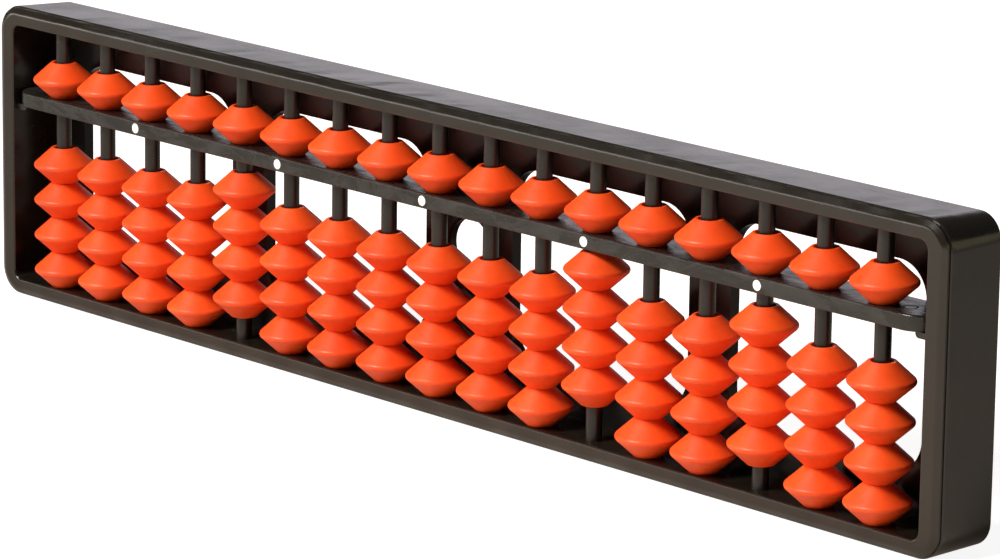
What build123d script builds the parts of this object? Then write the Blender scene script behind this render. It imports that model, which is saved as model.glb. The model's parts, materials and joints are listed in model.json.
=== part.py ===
from build123d import *
from math import radians, sin, tan
import os

# A student abacus that stands on its long edge: +X runs along the columns, the beads face -Y, +Z is up.
# The origin is under the middle of the object, on the surface that it stands on. Sizes are in millimetres.

# Driving dimensions: frame
LENGTH = 280.0
HEIGHT = 65.0
FRAME_DEPTH = 15.65
SIDE_WALL = 5.0
TOP_RAIL = 4.2
BOTTOM_RAIL = 3.7
OUTER_CORNER = 6.0
INNER_CORNER = 2.0
WALL_DRAFT = 3.2  # degrees: the top and side walls narrow towards the back, and the bottom stays level
RIM_STEP = 0.35  # the front rim stands inside the walls by this much
SHOULDER_BEVEL = 0.2
RIM_THICKNESS = 1.2
RIM_BEVEL_WIDTH = 1.3
RIM_BEVEL_DEPTH = 0.6
RIM_BEVEL_ROUND = 1.5  # where the bevel runs into the rim's flat front
RIM_INNER_ROUND = 0.4

# Driving dimensions: columns and beads
COLUMNS = 17
PITCH = 15.2
RODS_BEHIND_RIM = 3.65
ROD_RADIUS = 1.65
SOCKET_DEPTH = 1.8
ROD_FIT = 0.05
BEAD_RADIUS = 6.65
BEAD_HEIGHT = 7.8
BEAD_SLOPE = 42.5  # degrees between a bead's cone and the level
BEAD_EDGE_ROUND = 0.8
BEAD_FACE_ROUND = 0.15
BEAD_BORE_RADIUS = 1.95
BEAD_SINK_RADIUS = 2.25
BEAD_SINK_DEPTH = 0.6
BEAD_GAP = 0.05
EARTH_BEADS = 4
LIFTED_COLUMNS = {5: 4.9, 12: 7.3, 15: 4.9}  # how far these columns' earth beads are raised

# Driving dimensions: reckoning beam
BEAM_BOTTOM = 43.05
BEAM_THICKNESS = 3.2
BEAM_PROUD = 0.4  # of the rim's front face
BEAM_DEPTH = 11.3
BEAM_EDGE_ROUND = 0.35
BEAM_END_GAP = 0.05
DOT_PLACES = {3: -0.9, 6: 0.0, 9: -1.0, 12: 0.2, 15: 1.6}  # column, and how far the dot sits beside it
DOT_RADIUS = 1.05
DOT_DEPTH = 0.4
MARK_OUTER_RADIUS = 1.5
MARK_INNER_RADIUS = 1.15
MARK_DEPTH = 0.2
MARK_X = 127.4
MARK_BEHIND_ROD = 0.95
LEDGE_SETBACK = 1.2  # from the rim's front face
LEDGE_REACH = 3.3
LEDGE_THICKNESS = 1.2
LEDGE_DEPTH = 8.0
LEDGE_ROUND = 0.9

# Driving dimensions: back panel
PANEL_BEHIND_RODS = 8.25
PANEL_THICKNESS = 2.4
PANEL_LAP = 1.6  # how far the panel reaches into the frame's rebate
PANEL_FIT = 0.08
WINDOW_BOTTOM = 11.8
WINDOW_TOP = 52.6
WINDOW_CORNER = 7.0
WINDOW_EDGES = (12.9, 63.0, 74.3, 124.7)  # inner window from and to, outer window from and to
HANGING_HOLE_RADIUS = 5.9
HANGING_HOLE_HEIGHT = 33.4
HANGING_HOLE_BEVEL = 0.4

# Worked out from the driving dimensions
DEPTH_OVER_ALL = BEAD_RADIUS - RODS_BEHIND_RIM + FRAME_DEPTH  # from the beads' front to the frame's back
ROD_Y = BEAD_RADIUS - DEPTH_OVER_ALL / 2
FRAME_FRONT = ROD_Y - RODS_BEHIND_RIM
FRAME_BACK = FRAME_FRONT + FRAME_DEPTH
SHOULDER_Y = FRAME_FRONT + RIM_THICKNESS
NARROWING = (FRAME_BACK - SHOULDER_Y - SHOULDER_BEVEL) * tan(radians(WALL_DRAFT))
FLOOR = BOTTOM_RAIL
CEILING = HEIGHT - TOP_RAIL
OPENING_LENGTH = LENGTH - 2 * SIDE_WALL
OPENING_HEIGHT = CEILING - FLOOR
OPENING_MIDDLE = (CEILING + FLOOR) / 2
BEAM_TOP = BEAM_BOTTOM + BEAM_THICKNESS
BEAM_FRONT = FRAME_FRONT - BEAM_PROUD
BEAM_MIDDLE_Y = BEAM_FRONT + BEAM_DEPTH / 2
LEDGE_FRONT = FRAME_FRONT + LEDGE_SETBACK
PANEL_FRONT = ROD_Y + PANEL_BEHIND_RODS
BEAD_TIP = BEAD_RADIUS + BEAD_EDGE_ROUND * (1 / sin(radians(BEAD_SLOPE)) - 1)
BEAD_HALF = BEAD_HEIGHT / 2
BEAD_FACE_RADIUS = BEAD_TIP - BEAD_HALF / tan(radians(BEAD_SLOPE))
BEAD_STEP = BEAD_HEIGHT + BEAD_GAP


def column_x(column):
    """Where a column stands, counted from 1 at the left."""
    return (column - (COLUMNS + 1) / 2) * PITCH


def upright(y, z):
    """An upright plane that faces the back, with its middle at height z."""
    return Plane(origin=(0, y, z), x_dir=(1, 0, 0), z_dir=(0, 1, 0))


def write(builder, label):
    """Names a finished piece and writes its STEP file."""
    builder.part.label = label
    export_step(builder.part, f"parts/{label}.step")


os.makedirs("parts", exist_ok=True)
columns = range(1, COLUMNS + 1)
rod_feet = [(column_x(column), ROD_Y) for column in columns]
dot_places = [(column_x(column) + shift, 0) for column, shift in DOT_PLACES.items()]

# Frame: one moulded ring with a stepped and bevelled front rim
with BuildPart() as frame:
    with BuildSketch(upright(SHOULDER_Y, HEIGHT / 2)):
        RectangleRounded(
            LENGTH - 2 * SHOULDER_BEVEL,
            HEIGHT - 2 * SHOULDER_BEVEL,
            OUTER_CORNER - SHOULDER_BEVEL,
        )
    with BuildSketch(upright(SHOULDER_Y + SHOULDER_BEVEL, HEIGHT / 2)):
        RectangleRounded(LENGTH, HEIGHT, OUTER_CORNER)
    with BuildSketch(upright(FRAME_BACK, (HEIGHT - NARROWING) / 2)):
        RectangleRounded(LENGTH - 2 * NARROWING, HEIGHT - NARROWING, OUTER_CORNER - NARROWING)
    loft(ruled=True)
    with BuildSketch(upright(FRAME_FRONT, HEIGHT / 2)):
        RectangleRounded(LENGTH - 2 * RIM_STEP, HEIGHT - 2 * RIM_STEP, OUTER_CORNER - RIM_STEP)
    extrude(amount=RIM_THICKNESS)
    front_face = frame.faces().sort_by(Axis.Y)[0]
    chamfer(front_face.edges(), length=RIM_BEVEL_WIDTH, length2=RIM_BEVEL_DEPTH, reference=front_face)
    bevel_edges = frame.faces().sort_by(Axis.Y)[0].edges()
    fillet(bevel_edges, radius=RIM_BEVEL_ROUND)
    # the opening that holds the columns, and the rebate that the back panel drops into
    with BuildSketch(upright(FRAME_FRONT, OPENING_MIDDLE)):
        RectangleRounded(OPENING_LENGTH, OPENING_HEIGHT, INNER_CORNER)
    extrude(amount=FRAME_DEPTH, mode=Mode.SUBTRACT)
    with BuildSketch(upright(PANEL_FRONT, OPENING_MIDDLE)):
        RectangleRounded(
            OPENING_LENGTH + 2 * PANEL_LAP, OPENING_HEIGHT + 2 * PANEL_LAP, INNER_CORNER + PANEL_LAP
        )
    extrude(amount=FRAME_BACK - PANEL_FRONT, mode=Mode.SUBTRACT)
    rim_edges = frame.faces().sort_by(Axis.Y)[0].inner_wires().edges()
    fillet(rim_edges, radius=RIM_INNER_ROUND)
    # blind sockets for the rods' ends
    with Locations(*[(x, y, FLOOR) for x, y in rod_feet]):
        Cylinder(
            ROD_RADIUS + ROD_FIT,
            SOCKET_DEPTH,
            align=(Align.CENTER, Align.CENTER, Align.MAX),
            mode=Mode.SUBTRACT,
        )
    with Locations(*[(x, y, CEILING) for x, y in rod_feet]):
        Cylinder(
            ROD_RADIUS + ROD_FIT,
            SOCKET_DEPTH,
            align=(Align.CENTER, Align.CENTER, Align.MIN),
            mode=Mode.SUBTRACT,
        )
    # a ledge with a rounded tip on each side wall carries the beam
    ledge_low = BEAM_BOTTOM - LEDGE_THICKNESS
    for side in (-1, 1):
        root = side * (OPENING_LENGTH / 2 + SIDE_WALL / 2)
        tip = side * (OPENING_LENGTH / 2 - LEDGE_REACH)
        with BuildSketch(Plane.XZ.offset(-LEDGE_FRONT)):
            with BuildLine():
                Polyline(
                    (root, ledge_low),
                    (tip, ledge_low),
                    (tip, BEAM_BOTTOM),
                    (root, BEAM_BOTTOM),
                    close=True,
                )
            make_face()
            lower_corner = vertices().sort_by(Axis.Y)[:2].sort_by(Axis.X)
            fillet(lower_corner[0] if side > 0 else lower_corner[-1], radius=LEDGE_ROUND)
        extrude(amount=-LEDGE_DEPTH)
write(frame, "frame")

# Back panel: a plate with four windows and a hanging hole, seated in the frame's rebate
with BuildPart() as back_panel:
    with BuildSketch(upright(PANEL_FRONT, OPENING_MIDDLE)):
        RectangleRounded(
            OPENING_LENGTH + 2 * (PANEL_LAP - PANEL_FIT),
            OPENING_HEIGHT + 2 * (PANEL_LAP - PANEL_FIT),
            INNER_CORNER + PANEL_LAP - PANEL_FIT,
        )
    extrude(amount=PANEL_THICKNESS)
    inner_from, inner_to, outer_from, outer_to = WINDOW_EDGES
    for near, far in ((inner_from, inner_to), (outer_from, outer_to)):
        for side in (-1, 1):
            middle = Plane(
                origin=(side * (near + far) / 2, PANEL_FRONT, (WINDOW_BOTTOM + WINDOW_TOP) / 2),
                x_dir=(1, 0, 0),
                z_dir=(0, 1, 0),
            )
            with BuildSketch(middle):
                RectangleRounded(far - near, WINDOW_TOP - WINDOW_BOTTOM, WINDOW_CORNER)
            extrude(amount=PANEL_THICKNESS, mode=Mode.SUBTRACT)
    with BuildSketch(upright(PANEL_FRONT, HANGING_HOLE_HEIGHT)):
        Circle(HANGING_HOLE_RADIUS)
    extrude(amount=PANEL_THICKNESS, mode=Mode.SUBTRACT)
    hole_rims = back_panel.edges(Select.LAST).filter_by(GeomType.CIRCLE)
    chamfer(hole_rims, length=HANGING_HOLE_BEVEL)
write(back_panel, "back_panel")

# Reckoning beam: a round-ended bar with rod holes, pockets for the unit dots and a ring mark at each end
with BuildPart() as beam:
    with BuildSketch(Plane.XY.offset(BEAM_BOTTOM)):
        with Locations((0, BEAM_MIDDLE_Y)):
            SlotOverall(OPENING_LENGTH - 2 * BEAM_END_GAP, BEAM_DEPTH)
    extrude(amount=BEAM_THICKNESS)
    long_edges = beam.faces().filter_by(Axis.Z).edges()
    fillet(long_edges, radius=BEAM_EDGE_ROUND)
    with Locations(*[(x, y, BEAM_BOTTOM) for x, y in rod_feet]):
        Cylinder(
            ROD_RADIUS + ROD_FIT,
            BEAM_THICKNESS,
            align=(Align.CENTER, Align.CENTER, Align.MIN),
            mode=Mode.SUBTRACT,
        )
    with BuildSketch(upright(BEAM_FRONT, BEAM_BOTTOM + BEAM_THICKNESS / 2)):
        with Locations(*dot_places):
            Circle(DOT_RADIUS)
    extrude(amount=DOT_DEPTH, mode=Mode.SUBTRACT)
    with BuildSketch(Plane.XY.offset(BEAM_TOP - MARK_DEPTH)):
        with Locations((-MARK_X, ROD_Y + MARK_BEHIND_ROD), (MARK_X, ROD_Y + MARK_BEHIND_ROD)):
            Circle(MARK_OUTER_RADIUS)
            Circle(MARK_INNER_RADIUS, mode=Mode.SUBTRACT)
    extrude(amount=MARK_DEPTH, mode=Mode.SUBTRACT)
write(beam, "beam")

# Unit dots: inlays that fill the beam's pockets
with BuildPart() as unit_dots:
    with BuildSketch(upright(BEAM_FRONT, BEAM_BOTTOM + BEAM_THICKNESS / 2)):
        with Locations(*dot_places):
            Circle(DOT_RADIUS)
    extrude(amount=DOT_DEPTH)
write(unit_dots, "unit_dots")

# Rods: one for each column, from the bottom rail's sockets through the beam to the top rail's sockets
with BuildPart() as rods:
    with Locations(*[(x, y, FLOOR - SOCKET_DEPTH) for x, y in rod_feet]):
        Cylinder(
            ROD_RADIUS,
            OPENING_HEIGHT + 2 * SOCKET_DEPTH,
            align=(Align.CENTER, Align.CENTER, Align.MIN),
        )
write(rods, "rods")

# Bead: two cones with a rounded edge between them, bored and countersunk for the rod
with BuildPart() as bead:
    with BuildSketch(Plane.XZ):
        with BuildLine():
            Polyline(
                (BEAD_BORE_RADIUS, BEAD_SINK_DEPTH - BEAD_HALF),
                (BEAD_SINK_RADIUS, -BEAD_HALF),
                (BEAD_FACE_RADIUS, -BEAD_HALF),
                (BEAD_TIP, 0),
                (BEAD_FACE_RADIUS, BEAD_HALF),
                (BEAD_SINK_RADIUS, BEAD_HALF),
                (BEAD_BORE_RADIUS, BEAD_HALF - BEAD_SINK_DEPTH),
                close=True,
            )
        make_face()
        corners = vertices().group_by(Axis.X)
        fillet(corners[-1], radius=BEAD_EDGE_ROUND)
        fillet(corners[-2], radius=BEAD_FACE_ROUND)
    revolve(axis=Axis.Z)

# Beads on their rods: one above the beam, and below it a top bead and the three under it
for column in columns:
    x = column_x(column)
    lift = LIFTED_COLUMNS.get(column, 0)
    heaven_height = BEAM_TOP + BEAD_GAP + BEAD_HALF
    earth_heights = [FLOOR + BEAD_GAP + BEAD_HALF + lift + row * BEAD_STEP for row in range(EARTH_BEADS)]
    with BuildPart() as heaven_bead:
        with Locations((x, ROD_Y, heaven_height)):
            add(bead.part)
    write(heaven_bead, f"heaven_bead_{column:02d}")
    with BuildPart() as earth_top_bead:
        with Locations((x, ROD_Y, earth_heights[-1])):
            add(bead.part)
    write(earth_top_bead, f"earth_top_bead_{column:02d}")
    with BuildPart() as earth_lower_beads:
        with Locations(*[(x, ROD_Y, height) for height in earth_heights[:-1]]):
            add(bead.part)
    write(earth_lower_beads, f"earth_lower_beads_{column:02d}")
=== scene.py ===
import json
import math
import bpy
from mathutils import Matrix, Vector


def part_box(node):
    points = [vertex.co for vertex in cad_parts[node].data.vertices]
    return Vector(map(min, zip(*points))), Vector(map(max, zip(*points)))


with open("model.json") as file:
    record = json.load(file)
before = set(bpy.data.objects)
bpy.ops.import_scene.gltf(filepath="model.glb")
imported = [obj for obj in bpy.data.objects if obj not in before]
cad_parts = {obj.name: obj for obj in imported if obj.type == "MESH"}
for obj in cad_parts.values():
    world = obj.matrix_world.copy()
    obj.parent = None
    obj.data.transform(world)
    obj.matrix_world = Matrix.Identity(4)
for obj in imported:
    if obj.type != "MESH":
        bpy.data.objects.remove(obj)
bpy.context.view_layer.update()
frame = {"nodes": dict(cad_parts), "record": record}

# Where the camera stands, in metres and degrees, and how it is turned
CAMERA_PLACE = (0.7363, -0.6831, 0.2724)
CAMERA_AZIMUTH = 46.55
CAMERA_ELEVATION = 13.70
CAMERA_ROLL = 0.79
CAMERA_LENS = 183.0
CAMERA_CLIP = (0.01, 100)

# The studio: places and sizes in metres, powers in watts
FLOOR_REACH = 8.0
WORLD_COLOUR = (1.0, 0.99, 0.98)
WORLD_STRENGTH = 0.06
MIDDLE = (0, 0, 0.03)  # of the object
KEY_TARGET = (0.7, 0, 0.03)  # past the right end, so that the light falls off towards the left

# The columns, in metres, for the dimples that the frame has above each rod
first_low, first_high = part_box("heaven_bead_01")
last_low, last_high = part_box("heaven_bead_17")
COLUMN_STEPS = 16
COLUMN_PITCH = ((last_low.x + last_high.x) - (first_low.x + first_high.x)) / 2 / COLUMN_STEPS
ROD_Y = (first_low.y + first_high.y) / 2


class Finish:
    """A node material on one Principled shader, with short ways to add texture nodes."""

    def __init__(self, name):
        self.material = bpy.data.materials.new(name)
        self.material.use_nodes = True
        self.tree = self.material.node_tree
        self.shader = self.tree.nodes["Principled BSDF"]
        self.place = self.node("ShaderNodeTexCoord").outputs["Object"]

    def node(self, kind, **settings):
        made = self.tree.nodes.new(kind)
        for key, value in settings.items():
            setattr(made, key, value)
        return made

    def join(self, source, target):
        self.tree.links.new(source, target)

    def feed(self, source, socket_name):
        """Joins a source to a socket of the shader."""
        self.join(source, self.shader.inputs[socket_name])

    def set(self, **values):
        """Sets sockets of the shader, with underscores for the spaces in their names."""
        for key, value in values.items():
            self.shader.inputs[key.replace("_", " ")].default_value = value

    def axes(self):
        """The place's X, Y and Z on their own."""
        parts = self.node("ShaderNodeSeparateXYZ")
        self.join(self.place, parts.inputs["Vector"])
        return parts.outputs

    def stretched(self, scale):
        mapping = self.node("ShaderNodeMapping")
        mapping.inputs["Scale"].default_value = scale
        self.join(self.place, mapping.inputs["Vector"])
        return mapping.outputs["Vector"]

    def noise(self, scale, detail=3.0, rough=0.55, vector=None, distortion=0.0):
        made = self.node("ShaderNodeTexNoise")
        made.inputs["Scale"].default_value = scale
        made.inputs["Detail"].default_value = detail
        made.inputs["Roughness"].default_value = rough
        made.inputs["Distortion"].default_value = distortion
        self.join(vector or self.place, made.inputs["Vector"])
        return made.outputs["Fac"]

    def ramp(self, fac, low, high):
        """Colour ramp between two stops, each a (position, grey or colour)."""
        made = self.node("ShaderNodeValToRGB")
        for point, (position, value) in zip(made.color_ramp.elements, (low, high)):
            point.position = position
            point.color = (*value, 1) if isinstance(value, tuple) else (value, value, value, 1)
        self.join(fac, made.inputs["Fac"])
        return made.outputs["Color"]

    def span(self, fac, low, high, from_low=0.0, from_high=1.0):
        made = self.node("ShaderNodeMapRange")
        made.inputs["From Min"].default_value = from_low
        made.inputs["From Max"].default_value = from_high
        made.inputs["To Min"].default_value = low
        made.inputs["To Max"].default_value = high
        self.join(fac, made.inputs["Value"])
        return made.outputs["Result"]

    def reckon(self, operation, *values):
        """One Math node on sockets or numbers."""
        made = self.node("ShaderNodeMath", operation=operation)
        for socket, value in zip(made.inputs, values):
            if isinstance(value, (int, float)):
                socket.default_value = value
            else:
                self.join(value, socket)
        return made.outputs["Value"]

    def mix(self, fac, first, second, blend="MIX"):
        made = self.node("ShaderNodeMix", data_type="RGBA", blend_type=blend)
        for index, value in ((0, fac), (6, first), (7, second)):
            if isinstance(value, (int, float)):
                made.inputs[index].default_value = value
            elif isinstance(value, tuple):
                made.inputs[index].default_value = (*value, 1)
            else:
                self.join(value, made.inputs[index])
        return made.outputs[2]

    def bump(self, height, distance, strength=1.0, below=None):
        made = self.node("ShaderNodeBump")
        made.inputs["Strength"].default_value = strength
        made.inputs["Distance"].default_value = distance
        self.join(height, made.inputs["Height"])
        if below:
            self.join(below, made.inputs["Normal"])
        return made.outputs["Normal"]


def rod_dimples(f):
    """Height of a moulding that has sunk above each rod, unevenly, and less away from the rods."""
    place = f.axes()
    column = f.reckon("MULTIPLY", place["X"], 2 * math.pi / COLUMN_PITCH)
    wander = f.reckon("MULTIPLY", f.noise(scale=45, detail=2), 2.5)
    wave = f.reckon("COSINE", f.reckon("ADD", column, wander))
    beside = f.reckon("ABSOLUTE", f.reckon("ADD", place["Y"], -ROD_Y))
    near = f.span(beside, 1.0, 0.0, from_low=0.001, from_high=0.010)
    amount = f.span(f.noise(scale=70, detail=2), 0.2, 1.0, from_low=0.35, from_high=0.65)
    return f.reckon("MULTIPLY", f.reckon("MULTIPLY", wave, near), amount)


def frame_finish():
    """Glossy black moulding: sink marks above the rods, slow swells, orange peel and fine scratches."""
    f = Finish("frame_gloss_black")
    tint = f.noise(scale=60, detail=4)
    f.feed(f.ramp(tint, (0.3, (0.0080, 0.0060, 0.0042)), (0.7, (0.0135, 0.0105, 0.0072))), "Base Color")
    # long scratches run along the frame, and rubbed patches lie anywhere
    along = f.stretched((0.08, 1, 1))
    scratch = f.ramp(f.noise(scale=260, detail=5, rough=0.7, vector=along), (0.62, 0.0), (0.70, 1.0))
    rubbed = f.ramp(f.noise(scale=38, detail=5, rough=0.65), (0.42, 0.0), (0.68, 1.0))
    f.feed(f.span(f.mix(0.35, rubbed, scratch), 0.19, 0.34), "Roughness")
    sink = f.bump(rod_dimples(f), distance=0.00025)
    slow = f.noise(scale=24, detail=2, rough=0.4, vector=f.stretched((1, 0.4, 0.4)))
    swell = f.bump(slow, distance=0.0009, strength=0.5, below=sink)
    peel = f.bump(f.noise(scale=900), distance=0.00003, strength=0.6, below=swell)
    f.feed(f.bump(scratch, distance=0.00002, strength=0.5, below=peel), "Normal")
    f.set(IOR=1.5, Coat_Weight=0.15, Coat_Roughness=0.12)
    return f.material


def panel_finish():
    """Glossy black plate, seen behind the rods: smoother than the frame, with faint flow lines."""
    f = Finish("panel_gloss_black")
    flow = f.noise(scale=40, detail=4, rough=0.6, vector=f.stretched((0.5, 1, 1.6)))
    f.feed(f.ramp(flow, (0.3, (0.0060, 0.0062, 0.0060)), (0.7, (0.0095, 0.0095, 0.0092))), "Base Color")
    f.feed(f.span(f.noise(scale=55, detail=4), 0.14, 0.28, from_low=0.3, from_high=0.7), "Roughness")
    swell = f.bump(f.noise(scale=30, detail=2, rough=0.4), distance=0.0006, strength=0.5)
    f.feed(f.bump(f.noise(scale=1100), distance=0.00002, strength=0.5, below=swell), "Normal")
    f.set(IOR=1.33)
    return f.material


def beam_finish():
    """The bar that hands touch most: black, greyed by scuffs and nicks."""
    f = Finish("beam_scuffed_black")
    scuffed = f.noise(scale=170, detail=7, rough=0.72, vector=f.stretched((0.45, 1, 1)), distortion=1.2)
    scuff = f.ramp(scuffed, (0.45, 0.0), (0.66, 1.0))
    nicked = f.noise(scale=900, detail=4, rough=0.7, vector=f.stretched((0.35, 1, 1)))
    nick = f.ramp(nicked, (0.66, 0.0), (0.74, 1.0))
    grey = f.mix(scuff, (0.010, 0.0095, 0.0085), (0.024, 0.023, 0.022))
    f.feed(f.mix(f.reckon("MULTIPLY", nick, 0.5), grey, (0.09, 0.088, 0.085)), "Base Color")
    f.feed(f.span(scuff, 0.22, 0.50), "Roughness")
    dented = f.noise(scale=240, detail=5, rough=0.65, distortion=0.6)
    dents = f.bump(dented, distance=0.00018, strength=0.7)
    f.feed(f.bump(nick, distance=0.00005, strength=0.7, below=dents), "Normal")
    f.set(IOR=1.5)
    return f.material


def rod_finish():
    """Satin black rods with draw marks along them."""
    f = Finish("rod_satin_black")
    drawn = f.noise(scale=700, detail=4, rough=0.6, vector=f.stretched((1, 1, 0.04)))
    f.feed(f.ramp(drawn, (0.3, (0.007, 0.006, 0.006)), (0.7, (0.015, 0.013, 0.0125))), "Base Color")
    f.feed(f.span(f.noise(scale=300), 0.26, 0.40, from_low=0.3, from_high=0.7), "Roughness")
    f.feed(f.bump(drawn, distance=0.00003, strength=0.6), "Normal")
    f.set(IOR=1.5)
    return f.material


def dot_finish():
    """White paint with a slightly uneven skin."""
    f = Finish("dot_white_paint")
    f.feed(f.ramp(f.noise(scale=900), (0.3, (0.86, 0.86, 0.80)), (0.7, (0.93, 0.93, 0.89))), "Base Color")
    f.feed(f.span(f.noise(scale=700), 0.40, 0.60), "Roughness")
    f.feed(f.bump(f.noise(scale=1500), distance=0.00005, strength=0.5), "Normal")
    return f.material


def bead_finish():
    """Satin orange-red beads: cloudy moulded colour, a fine grain and turned rings, soft in the light."""
    f = Finish("bead_orange_red")
    shade = f.noise(scale=150, detail=4, rough=0.6)
    warm = f.ramp(shade, (0.3, (0.80, 0.066, 0.008)), (0.7, (0.90, 0.094, 0.011)))
    cloud = f.noise(scale=34, detail=2, rough=0.5)
    dimmed = f.ramp(cloud, (0.35, (0.93, 0.86, 0.84)), (0.65, (1.0, 1.0, 1.0)))
    f.feed(f.mix(1.0, warm, dimmed, "MULTIPLY"), "Base Color")
    satin = f.noise(scale=420, detail=4, rough=0.6)
    f.feed(f.span(satin, 0.38, 0.54, from_low=0.3, from_high=0.7), "Roughness")
    turned = f.noise(scale=2600, detail=2, rough=0.5, vector=f.stretched((0.12, 0.12, 1)))
    grain = f.bump(f.noise(scale=1400, detail=4), distance=0.00004, strength=0.7)
    f.feed(f.bump(turned, distance=0.00002, strength=0.5, below=grain), "Normal")
    f.set(IOR=1.42, Subsurface_Weight=0.2, Subsurface_Radius=(1.0, 0.2, 0.08), Subsurface_Scale=0.0012)
    return f.material


def floor_finish():
    """Pale floor that glows. Mirrored, its glow is a painted reflection, warm and brighter at the front
    right; in bounce light its warm glow is painted fill light; looked at, it is evenly white.
    """
    f = Finish("floor_pale")
    pale = f.noise(scale=3, detail=2)
    f.feed(f.ramp(pale, (0.3, (0.49, 0.45, 0.41)), (0.7, (0.51, 0.47, 0.43))), "Base Color")
    f.set(Roughness=0.9, Specular_IOR_Level=0.1)
    place = f.axes()
    rightward = f.span(place["X"], 0.0, 0.45, from_low=-0.25, from_high=0.06)
    forward = f.span(place["Y"], 1.0, 0.0, from_low=-0.03, from_high=0.02)
    ray = f.node("ShaderNodeLightPath").outputs
    # painted reflection: for mirrored rays the floor glows, warm and brighter towards the front right
    painted_reflection_glow = f.reckon("MULTIPLY", f.reckon("MULTIPLY", rightward, forward), ray["Is Glossy Ray"])
    # painted fill light: for bounce rays the floor glows warm
    painted_bounce_glow = f.reckon("MULTIPLY", ray["Is Diffuse Ray"], 0.45)
    seen = f.reckon("MULTIPLY", ray["Is Camera Ray"], 0.90)
    f.feed(f.mix(ray["Is Camera Ray"], (1.0, 0.82, 0.64), (1.0, 1.0, 1.0)), "Emission Color")
    f.feed(f.reckon("ADD", painted_reflection_glow, f.reckon("ADD", seen, painted_bounce_glow)), "Emission Strength")
    return f.material


FINISH_OF_SLOT = {
    "frame_plastic": frame_finish(),
    "panel_plastic": panel_finish(),
    "beam_plastic": beam_finish(),
    "rod_plastic": rod_finish(),
    "dot_white": dot_finish(),
    "bead_plastic": bead_finish(),
}
for part in frame["record"]["subparts"]:
    for material_slot in frame["nodes"][part["node"]].material_slots:
        material_slot.link = "OBJECT"
        material_slot.material = FINISH_OF_SLOT[part["material_slot"]]


def add_floor():
    """A plain square floor under the object."""
    reach = FLOOR_REACH
    corners = [(-reach, -reach, 0), (reach, -reach, 0), (reach, reach, 0), (-reach, reach, 0)]
    mesh = bpy.data.meshes.new("floor")
    mesh.from_pydata(corners, [], [(0, 1, 2, 3)])
    mesh.materials.append(floor_finish())
    floor = bpy.data.objects.new("floor", mesh)
    bpy.context.scene.collection.objects.link(floor)


def add_light(name, place, target, size, power, colour):
    """A soft rectangular light that faces a point."""
    light = bpy.data.lights.new(name, "AREA")
    light.shape = "RECTANGLE"
    light.size, light.size_y = size
    light.energy = power
    light.color = colour
    lamp = bpy.data.objects.new(name, light)
    bpy.context.scene.collection.objects.link(lamp)
    lamp.location = place
    lamp.rotation_mode = "QUATERNION"
    lamp.rotation_quaternion = (Vector(target) - Vector(place)).to_track_quat("-Z", "Y")


def add_world():
    world = bpy.data.worlds.new("studio")
    world.use_nodes = True
    background = world.node_tree.nodes["Background"]
    background.inputs["Color"].default_value = (*WORLD_COLOUR, 1)
    background.inputs["Strength"].default_value = WORLD_STRENGTH
    bpy.context.scene.world = world


def add_camera():
    azimuth, elevation, roll = map(math.radians, (CAMERA_AZIMUTH, CAMERA_ELEVATION, CAMERA_ROLL))
    level = math.cos(elevation)
    ahead = Vector((-math.sin(azimuth) * level, math.cos(azimuth) * level, -math.sin(elevation)))
    right = Vector((math.cos(azimuth), math.sin(azimuth), 0))
    up = right.cross(ahead)
    turned_right = right * math.cos(roll) + up * math.sin(roll)
    turned_up = up * math.cos(roll) - right * math.sin(roll)
    camera = bpy.data.objects.new("camera", bpy.data.cameras.new("camera"))
    bpy.context.scene.collection.objects.link(camera)
    camera.rotation_mode = "QUATERNION"
    camera.location = CAMERA_PLACE
    camera.rotation_quaternion = Matrix((turned_right, turned_up, -ahead)).transposed().to_quaternion()
    camera.data.lens = CAMERA_LENS
    camera.data.clip_start, camera.data.clip_end = CAMERA_CLIP
    bpy.context.scene.camera = camera


add_floor()
add_world()
add_light("key", (-0.36, -1.48, 1.42), KEY_TARGET, size=(0.7, 0.5), power=68, colour=(1.0, 0.94, 0.86))
# the cards are what the gloss mirrors: on the top, along the rim's edges and at the right end's rounding
add_light("back_card", (-2.2, 2.1, 0.75), MIDDLE, size=(2.6, 1.0), power=6.5, colour=(0.98, 0.93, 1.0))
add_light("low_card", (-1.13, -1.07, 0.15), MIDDLE, size=(1.2, 0.24), power=4.2, colour=(1.0, 0.95, 0.88))
add_light("edge_card", (1.6, 1.5, 0.28), MIDDLE, size=(1.6, 0.5), power=1.6, colour=(1.0, 0.85, 0.5))
add_camera()
bpy.context.scene.view_settings.view_transform = "Standard"
